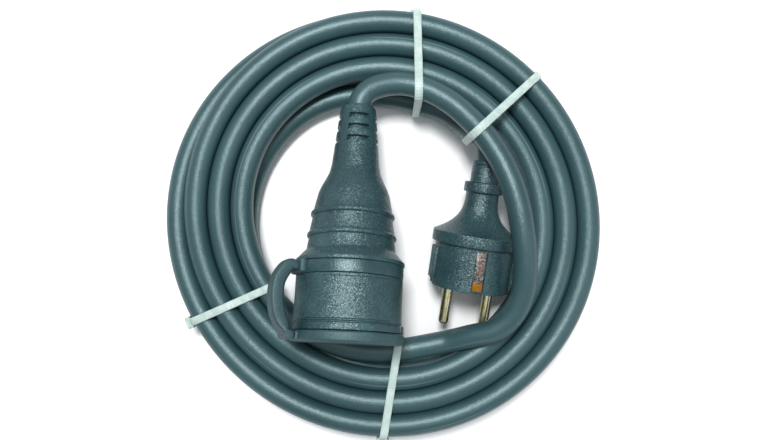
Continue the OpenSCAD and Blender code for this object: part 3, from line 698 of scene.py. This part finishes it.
def crossingsOf(angle, shift):  # where the cord passes under a tie, also where it slants
    c, s = polar(1, angle)
    found = []
    flat = [(p.x / mm * c + p.y / mm * s, p.y / mm * c - p.x / mm * s + shift, p.z / mm) for p in route]
    for a, b in zip(flat, flat[1:]):
        slant = abs(b[0] - a[0]) / max(1e-6, abs(b[1] - a[1]))
        reach = ties["width"] / 2 + ties["touch"] * min(1, slant) * cordRadius
        if max(a[0], b[0]) > ties["from"] and min(abs(a[1]), abs(b[1])) <= reach:
            found.append((a[0], a[2]))
    return found


def hullOf(points):
    points = sorted(set((round(x, 4), round(z, 4)) for x, z in points))

    def half(run):
        out = []
        for p in run:
            while len(out) > 1 and (out[-1][0] - out[-2][0]) * (p[1] - out[-2][1]) \
                    - (out[-1][1] - out[-2][1]) * (p[0] - out[-2][0]) <= 0:
                out.pop()
            out.append(p)
        return out[:-1]
    return half(points) + half(points[::-1])


def tieOutline(angle, shift):
    reach, n = jacket["radius"] + ties["gap"], ties["rimPoints"]
    circle = [polar(reach, 360 * k / n) for k in range(n)]
    rim = [(x + u, z + v) for x, z in crossingsOf(angle, shift) for u, v in circle]
    hull = [Vector(p) for p in hullOf(rim)]
    return evenly(hull + [hull[0]], ties["spacing"])[:-1]


def waysAt(outline, i):  # the way along a closed outline at one of its points, and the way out of it
    way = (outline[(i + 1) % len(outline)] - outline[i - 1]).normalized()
    return way, Vector((way.y, -way.x))


def tieBand(outline, place):
    e, t, w = ties["edge"], ties["thick"], ties["width"] / 2
    section = [(0, -w + e), (e, -w), (t - e, -w), (t, -w + e), (t, w - e), (t - e, w), (e, w), (0, w - e)]
    points, faces, n, m = [], [], len(outline), len(section)
    for i, p in enumerate(outline):
        out = waysAt(outline, i)[1]
        for rise, side in section:
            q = p + out * rise
            points.append(place(q.x, side, q.y))
        for k in range(m):
            a, b, j = i * m + k, i * m + (k + 1) % m, ((i + 1) % n) * m
            faces.append((a, b, j + (k + 1) % m, j + k))
    return points, faces


# Sets a small bar on every point of a line, turned by its stored directions
def toothGrower():
    grower = Grower("tieTeeth", {"Tooth Size": "Vector", "Material": "Material"})
    bar, spread = grower.add("MeshCube", "InstanceOnPoints")
    outward, sideways = grower.add("InputNamedAttribute", "InputNamedAttribute")
    for node, name in ((outward, "outward"), (sideways, "sideways")):
        node.data_type = "FLOAT_VECTOR"
        node.inputs["Name"].default_value = name
    aim = grower.tree.nodes.new("FunctionNodeAxesToRotation")
    aim.primary_axis, aim.secondary_axis = "Z", "Y"
    grower.link((grower.entry, "Geometry", spread, "Points"), (grower.entry, "Tooth Size", bar, "Size"),
                (bar, "Mesh", spread, "Instance"), (outward, "Attribute", aim, "Primary Axis"),
                (sideways, "Attribute", aim, "Secondary Axis"), (aim, "Rotation", spread, "Rotation"))
    grower.deliver(spread, "Instances")
    return grower


def tieTeeth(outline, place, grower, material):
    marks, outs = [], []
    middle = (min(p.x for p in outline) + max(p.x for p in outline)) / 2
    every = max(1, round(teeth["pitch"] / ties["spacing"]))
    for i in range(0, len(outline), every):
        p, out = outline[i], waysAt(outline, i)[1]
        if out.y > teeth["upright"] and p.x < middle:  # teeth end at the middle of the upper run
            q = p + out * ties["thick"]
            marks.append(place(q.x, 0, q.y))
            outs.append((place(q.x + out.x, 0, q.y + out.y) - marks[-1]).normalized())
    mesh = bpy.data.meshes.new("toothMarks")
    mesh.from_pydata([tuple(p) for p in marks], [], [])
    across = (place(0, 1, 0) - place(0, 0, 0)).normalized()
    for key, values in (("outward", outs), ("sideways", [across] * len(outs))):
        layer = mesh.attributes.new(key, "FLOAT_VECTOR", "POINT")
        for k, value in enumerate(values):
            layer.data[k].vector = value
    size = (teeth["long"] * mm, teeth["wide"] * mm, 2 * teeth["high"] * mm)
    return grower.grow(mesh, size, material)


# A block with softened edges, placed by its middle in metres, its half sizes in mm and its directions
def addBlock(b, middle, half, axes, soften):
    made = bmesh.ops.create_cube(b, size=2)
    turn = Matrix([[axes[c][r] * half[c] * mm for c in range(3)] for r in range(3)]).to_4x4()
    turn.translation = middle
    bmesh.ops.transform(b, matrix=turn, verts=made["verts"])
    edges = {e for v in made["verts"] for e in v.link_edges}
    bmesh.ops.bevel(b, geom=list(edges), offset=soften * mm, segments=2, affect="EDGES", clamp_overlap=True)


def addTieHead(b, outline, place):  # the head sits at the coil's outer side, its gate on top
    outer = max(range(len(outline)), key=lambda i: (outline[i].x - outline[i].y * 0.02))
    p, (way, out) = outline[outer], waysAt(outline, outer)
    origin = place(0, 0, 0)
    up, across, away = axes = [(place(*at) - origin).normalized()
                               for at in ((way.x, 0, way.y), (0, 1, 0), (out.x, 0, out.y))]
    half = tieHead["half"]
    middle = place(p.x, 0, p.y) + away * (ties["thick"] * tieHead["sink"] + half[2]) * mm
    gate = middle + (up * half[0] * tieHead["gateUp"] + away * tieHead["gateOut"]) * mm
    addBlock(b, middle, half, axes, tieHead["soft"])
    addBlock(b, gate, tieHead["gate"], axes, tieHead["gateSoft"])
    addBlock(b, middle + away * half[2] * mm, tieHead["pad"], axes, tieHead["padSoft"])


def makeTies(material):
    grower = toothGrower()
    for node, lie in ties["lie"].items():
        place, outline = tiePlane(*lie), tieOutline(*lie)
        band = meshFrom(*tieBand(outline, place))
        with Editing(band) as b:
            b.from_mesh(tieTeeth(outline, place, grower, material))
            addTieHead(b, outline, place)
        addPiece(node + "Strap", smoothed(band, ties["smoothAngle"]), material, "cord", "tie_nylon", node)


makeTies(tieNylon())
print("ties made")


rimZ = coupling["length"] - coupling["lidThick"] - coupling["lidGap"]
carrierZ = rimZ - coupling["recessDepth"] - coupling["carrierDepth"]
collarZ = rimZ - 31.6
seat = {"low": collarZ + 0.9, "high": collarZ + 6.6, "wall": barrel - 1}  # of the collar
barrelZ = collarZ - coupling["barrelStep"]
ribZs = [barrelZ - down for down in coupling["ribsDown"]]
neckZ, flareZ = barrelZ - coupling["neckDown"], barrelZ - coupling["flareDown"]
insets = {"cone": 4.5, "shoulder": 3.7, "flare": 7.3}
wall = {name: barrel - inset for name, inset in insets.items()}
lip = {"out": 0.55, "low": 0.3}  # small ridge beside the collar
rimGroove = {"low": rimZ - 3.9, "high": rimZ - 3, "slope": 0.25, "deep": 0.55}
pad = {"half": 47, "middle": 112, "low": collarZ + 8, "high": rimGroove["low"] - 0.7, "out": 0.42,
       "step": 0.2, "edge": 0.15}


def bodyPoint(x, y, z):  # everything up to the collar sits a little nearer to the rim
    return couplingPoint(x, y, z + (coupling["shift"] if z < seat["high"] + 2.4 else 0))


def ribAt(radius, height):
    return [(radius + coupling["rib"] * cos(radians(a)), height + coupling["ribWidth"] / 2 * sin(radians(a)))
            for a in range(-75, 91, 15)]


def couplingProfile():
    neck, halfRib = coupling["neck"], coupling["ribWidth"] / 2
    grow = (coupling["neckTop"] - neck) / neckZ
    out = [(0, 0), (neck - 1.4, 0), (neck - 0.4, 0.4), (neck, 1.4)]
    for z in coupling["slots"]:
        for at in (z - coupling["slotWidth"] / 2, z + coupling["slotWidth"] / 2):
            out += stepAt(neck + grow * at, at, coupling["slotStep"])
    start, foot = coupling["neckTop"] + 0.2, neckZ + 0.3
    out += [(coupling["neckTop"], neckZ), (start, foot)]
    for k in range(1, 10):  # bell-shaped flare
        t = k / 10
        share = 0.6 * smooth(t) + 0.4 * t ** 1.5
        out.append((start + (wall["flare"] - start) * share, foot + (flareZ - neckZ) * t))
    out.append((wall["flare"], flareZ + 0.3))
    midWall = (wall["flare"] + wall["cone"]) / 2 + 0.2
    out += [(midWall, ribZs[0] - halfRib)] + ribAt(midWall + 0.1, ribZs[0])
    out += [(wall["cone"], ribZs[1] - halfRib - 0.3)] + ribAt(wall["cone"], ribZs[1])
    out += [(wall["shoulder"], barrelZ - 4.7), (wall["shoulder"] + 0.8, barrelZ - 4)]
    out.append((barrel - 0.2, barrelZ - 0.9))
    out += [(barrel + lip["out"], barrelZ - lip["low"]), (barrel + lip["out"], seat["low"]),
            (seat["wall"], seat["low"]), (seat["wall"], seat["high"]), (barrel, seat["high"])]
    out += stepAt(barrel, pad["low"], pad["step"]) + stepAt(barrel, pad["high"], pad["step"])
    out += [(barrel, rimGroove["low"]), (barrel - rimGroove["deep"], rimGroove["low"] + rimGroove["slope"]),
            (barrel - rimGroove["deep"], rimGroove["high"] - rimGroove["slope"]), (barrel, rimGroove["high"])]
    bore = coupling["carrier"] + coupling["carrierGap"]
    out += [(barrel, rimZ), (bore, rimZ), (bore, carrierZ), (0, carrierZ)]
    return rounded(out, coupling["soft"])


def couplingRelief(radius, height, angle):
    halfSlot = coupling["slotWidth"] / 2
    if any(abs(height - z) < halfSlot for z in coupling["slots"]):
        turn = (angle - coupling["roll"] - coupling["slotTurn"] + 45) % 90 - 45
        if abs(turn) > coupling["bridge"] / 2:
            return radius - coupling["slotDepth"]
    if radius > barrel - 0.1 and pad["low"] < height < pad["high"]:
        turn = (angle - pad["middle"] + 180) % 360 - 180
        if abs(turn) < pad["half"]:
            return radius + pad["out"]
    if coupling["seamFrom"] < height < barrelZ - 1:  # parting line of the mould
        line = min((angle - coupling["roll"]) % 180, 180 - (angle - coupling["roll"]) % 180)
        return radius + coupling["seamHigh"] * max(0, 1 - line / coupling["seamWide"])
    return radius


def couplingColumns():
    turn = coupling["roll"] + coupling["slotTurn"]
    edges = []
    for side in (-1, 1):
        edges += [(turn + 90 * k + side * coupling["bridge"] / 2, coupling["slotEdge"]) for k in range(4)]
        edges.append((pad["middle"] + side * pad["half"], pad["edge"]))
    seams = [coupling["roll"] + half + d for half in (0, 180) for d in (-1, -0.5, 0, 0.5, 1)]
    return [at + side * gap for at, gap in edges for side in (-1, 1)] + seams


rubber = mouldedRubber("mouldedRubber")
smoothRubber = mouldedRubber("smoothRubber")
mattRubber = mouldedRubber("mattRubber")

hinge = {"r": barrel + 3.9, "z": coupling["length"] - coupling["lidThick"] / 2}
strap = {"wide": 8, "end": 11, "thick": 4.2, "middle": 5.8, "atHinge": 2.8, "swell": 4, "steps": 8,
         "thinFrom": 0.86, "thinOver": 0.1, "widenFrom": 0.8, "widenOver": 0.15, "knuckle": 2, "soft": 0.4}
# The strap's root is a block on the collar, in rings of (height, inset)
strapRoot = {"wide": 13, "out": 1.9, "in": 1.2,
             "rings": ((0.3, 0.5), (0.55, 0.15), (1, 0), (5.6, 0), (6.05, 0.15), (6.3, 0.5))}


def strapCurve():
    r, z, low = hinge["r"], hinge["z"], collarZ + coupling["shift"]
    line = [(barrel + 1.5, low + 3.3), (barrel + 4.3, low + 3.1), (r + 2.7, low + 5.2), (r + 5, low + 9.6),
            (r + 5.7, (collarZ + z) / 2 - 0.6), (r + 4.9, z - 10.4), (r + 2.6, z - 4.8), (r, z)]
    ends = [Vector(way).normalized() for way in ((1, 0.1), (-1, 0.85))]
    return eased(line, *ends, strap["steps"])


def strapRings():
    curve = strapCurve()
    rings, last = [], len(curve) - 1
    for i, p in enumerate(curve):
        t = i / last
        way = (curve[min(i + 1, last)] - curve[max(i - 1, 0)]).normalized()
        thick = strap["thick"] + (strap["middle"] - strap["thick"]) * smooth(strap["swell"] * min(t, 1 - t))
        thick -= (thick - strap["atHinge"]) * smooth((t - strap["thinFrom"]) / strap["thinOver"])
        widened = smooth((t - strap["widenFrom"]) / strap["widenOver"])
        half = (strap["wide"] + (strap["end"] - strap["wide"]) * widened) / 2
        ring = ringOf(half, thick / 2)
        rings.append([couplingPoint(-p.x + v * way.y, u, p.y + v * way.x) for u, v in ring])
    return rings


def strapShape():
    middle = -barrel + strapRoot["in"] - strapRoot["out"] / 2
    wide, thick = strapRoot["wide"] / 2, strapRoot["out"] / 2 + strapRoot["in"]
    root = [[bodyPoint(middle - v, u, collarZ + height) for u, v in ringOf(wide - inset, thick - inset)]
            for height, inset in strapRoot["rings"]]
    half, r = strap["end"] / 2, strap["knuckle"]
    knuckle = turned(rounded([(0, -half), (r, -half), (r, half), (0, half)], strap["soft"]),
                     lambda x, y, z: couplingPoint(x - hinge["r"], z, hinge["z"] + y), columns=48)
    points, faces = [], []
    for newPoints, newFaces in (lofted(strapRings()), lofted(root), knuckle):
        faces += [[v + len(points) for v in face] for face in newFaces]
        points += newPoints
    return points, faces


tab = {"r": barrel + 0.95, "z": rimZ - 0.5, "high": 6.4, "thick": 1.3, "half": 17, "steps": 16,
       "shrink": 0.35, "shrinkFrom": 0.9, "shrinkOver": 0.1}


def withTab(mesh):  # adds the tab that a finger opens the lid by, opposite the hinge
    rings = []
    for k in range(tab["steps"] + 1):
        side = 2 * k / tab["steps"] - 1
        shrink = tab["shrink"] * smooth((abs(side) - tab["shrinkFrom"]) / tab["shrinkOver"])
        rings.append([couplingPoint(*polar(tab["r"] + v, tab["half"] * side), tab["z"] + u)
                      for u, v in ringOf(tab["high"] / 2 - shrink, tab["thick"] / 2 - shrink)])
    with Editing(mesh) as b:
        b.from_mesh(meshFrom(*lofted(rings)))
    return smoothed(mesh)


# Corners of the collar's section: how far beyond the barrel, and how far above the collar's foot
collarCorners = [(-0.95, 3), (-0.95, 0.95), (0.12, 0.95), (0.2, 3.7), (0.12, 6.5), (-0.95, 6.5), (-0.95, 3)]


def collarProfile():
    return rounded([(barrel + out, collarZ + height) for out, height in collarCorners], coupling["soft"])[:-1]


def makeCoupling():
    body = turned(couplingProfile(), bodyPoint, couplingRelief, couplingColumns())
    replaceNode("coupling_body", meshFrom(*body), rubber, "rubber")
    collar = turned(collarProfile(), bodyPoint, closed=True)
    replaceNode("lid_collar", meshFrom(*collar), smoothRubber, "rubber")
    replaceNode("lid_strap", meshFrom(*strapShape()), mattRubber, "rubber")
    replaceNode("lid", withTab(fromCad("lid", 0.6, 3)), mattRubber, "rubber", "lid")
    replaceNode("contact_carrier", fromCad("contact_carrier", 0.2), insert, "insert")
    for node in ("contact_line", "contact_neutral", "earth_bow"):
        replaceNode(node, fromCad(node, 0.12), brass, "contact_brass")


insert, brass = hardInsert(), stampedBrass()
makeCoupling()
print("coupling made")


clipZone = {"low": plug["discThick"] / 2 + plug["clipUp"], "high": plug["face"] - plug["clipDown"]}
ridgeZone = {"low": plug["discThick"], "high": plug["face"] - plug["ridgeDown"]}
sleeveGroove = {"low": 1.6, "high": 2.55, "slope": 0.25, "deep": 0.35}


def plugProfile():
    back, face, half = -plug["back"], plug["face"], plug["discThick"] / 2
    nose, sleeve, collar, waist = plug["nose"], plug["sleeve"], plug["collar"], plug["waist"]
    bore, boreEnd = jacket["radius"] + plug["boreGap"], back + plug["bore"]
    sleeveEnd = back + plug["sleeveLength"]
    flareStart = sleeveEnd + plug["collarLength"]
    low, high, floor = back + sleeveGroove["low"], back + sleeveGroove["high"], sleeve - sleeveGroove["deep"]
    out = [(0, boreEnd), (bore, boreEnd), (bore, back), (sleeve, back), (sleeve, low),
           (floor, low + sleeveGroove["slope"]), (floor, high - sleeveGroove["slope"]), (sleeve, high),
           (sleeve, sleeveEnd), (collar, sleeveEnd), (collar, flareStart), (waist, flareStart)]
    for k in range(1, 17):  # bell-shaped flare
        t = k / 16
        out.append((waist + (plug["bell"] - waist) * t ** plug["bellPower"], flareStart + plug["flare"] * t))
    out += [(plug["disc"], -half + 0.2), (plug["disc"], half), (nose + 0.35, half), (nose, half + 0.5)]
    out += stepAt(nose, clipZone["low"], plug["clipStep"]) + stepAt(nose, ridgeZone["low"], plug["step"])
    out += stepAt(nose, ridgeZone["high"], plug["step"]) + stepAt(nose, clipZone["high"], plug["clipStep"])
    out += [(nose, face), (plug["bridge"], face), (plug["bridge"], face - plug["bridgeDepth"]),
            (0, face - plug["bridgeDepth"])]
    return rounded(out, plug["soft"])


# Presses in the grooves for the socket's guides and the seats of the clips, and raises the ridges
def plugRelief(radius, height, angle):
    if radius < plug["outerWall"] or height < plug["discThick"] / 2 + 0.2:
        return radius
    x, y = polar(radius, angle)
    if height > ridgeZone["low"] and abs(y) < plug["groove"] / 2:
        return min(radius, (plug["nose"] - plug["grooveDepth"]) / abs(cos(radians(angle))))
    if ridgeZone["low"] < height < ridgeZone["high"] and abs(y) < plug["ridgeReach"]:
        return radius + plug["ridge"]
    if clipZone["low"] < height < clipZone["high"] and abs(x) < plug["clip"] / 2:
        return min(radius, plug["clipFloor"] / abs(sin(radians(angle))))
    return radius


def plugColumns():
    grooves, clips = (plug["groove"] / 2, plug["ridgeReach"]), (plug["clip"] / 2,)
    out = []
    for middle, halves in ((0, grooves), (180, grooves), (90, clips), (270, clips)):
        for reach in [degrees(asin(half / plug["nose"])) for half in halves]:
            out += [middle + side * (reach + gap) for side in (-1, 1) for gap in (-0.25, 0.25)]
    return out


pin = {"spacing": 19, "thick": 4.8, "long": 19, "inside": 14, "neck": 0.25, "neckEdge": 0.15, "tip": 1.8,
       "soft": 0.15, "columns": 48}


def pinProfile():
    r, face, tip = pin["thick"] / 2, plug["face"], pin["tip"]
    start, shoulder, neck = face - pin["inside"], face + pin["long"] - tip, r - pin["neck"]
    out = [(0, start), (neck, start), (neck, face), (r, face + pin["neckEdge"]), (r, shoulder)]
    out += [(r - tip + tip * cos(radians(a)), shoulder + tip * sin(radians(a))) for a in range(10, 91, 10)]
    return rounded(out + [(0, face + pin["long"])], pin["soft"])


def makePlug():
    body = turned(plugProfile(), plugPoint, plugRelief, plugColumns())
    pieces = [replaceNode("plug_body", meshFrom(*body), rubber, "rubber")]
    plated = platedPin()
    for node, side in (("pin_line", -1), ("pin_neutral", 1)):
        shift = side * pin["spacing"] / 2
        shape = turned(pinProfile(), lambda x, y, z: plugPoint(x + shift, y, z), columns=pin["columns"])
        pieces.append(replaceNode(node, meshFrom(*shape), plated, "pin_nickel"))
    for node, soften, material, slot in (("pin_bridge", 0.2, insert, "insert"),
                                         ("earth_frame", 0.15, clipMetal(), "contact_brass"),
                                         ("earth_sleeve", 0.12, brass, "contact_brass")):
        pieces.append(replaceNode(node, fromCad(node, soften), material, slot))
    return pieces


plugPieces = makePlug()
print("plug made")


def makeCores():
    for name in coreColors:
        skin = coreSkin(name)
        for end in ("coupling", "plug"):
            node = end + "_core_" + name
            core = replaceNode(node, fromCad(node, 0), skin, "core_" + name)
            if end == "plug":
                plugPieces.append(core)


makeCores()


floorShape = {"half": 3, "down": 0.0002}


def makeFloor():
    half = floorShape["half"]
    corners = [(x * half, y * half, -floorShape["down"]) for x, y in ((-1, -1), (1, -1), (1, 1), (-1, 1))]
    mesh = bpy.data.meshes.new("floorMesh")
    mesh.from_pydata(corners, [], [(0, 1, 2, 3)])
    mesh.materials.append(paleFloor())
    shown("floor", mesh)


makeFloor()
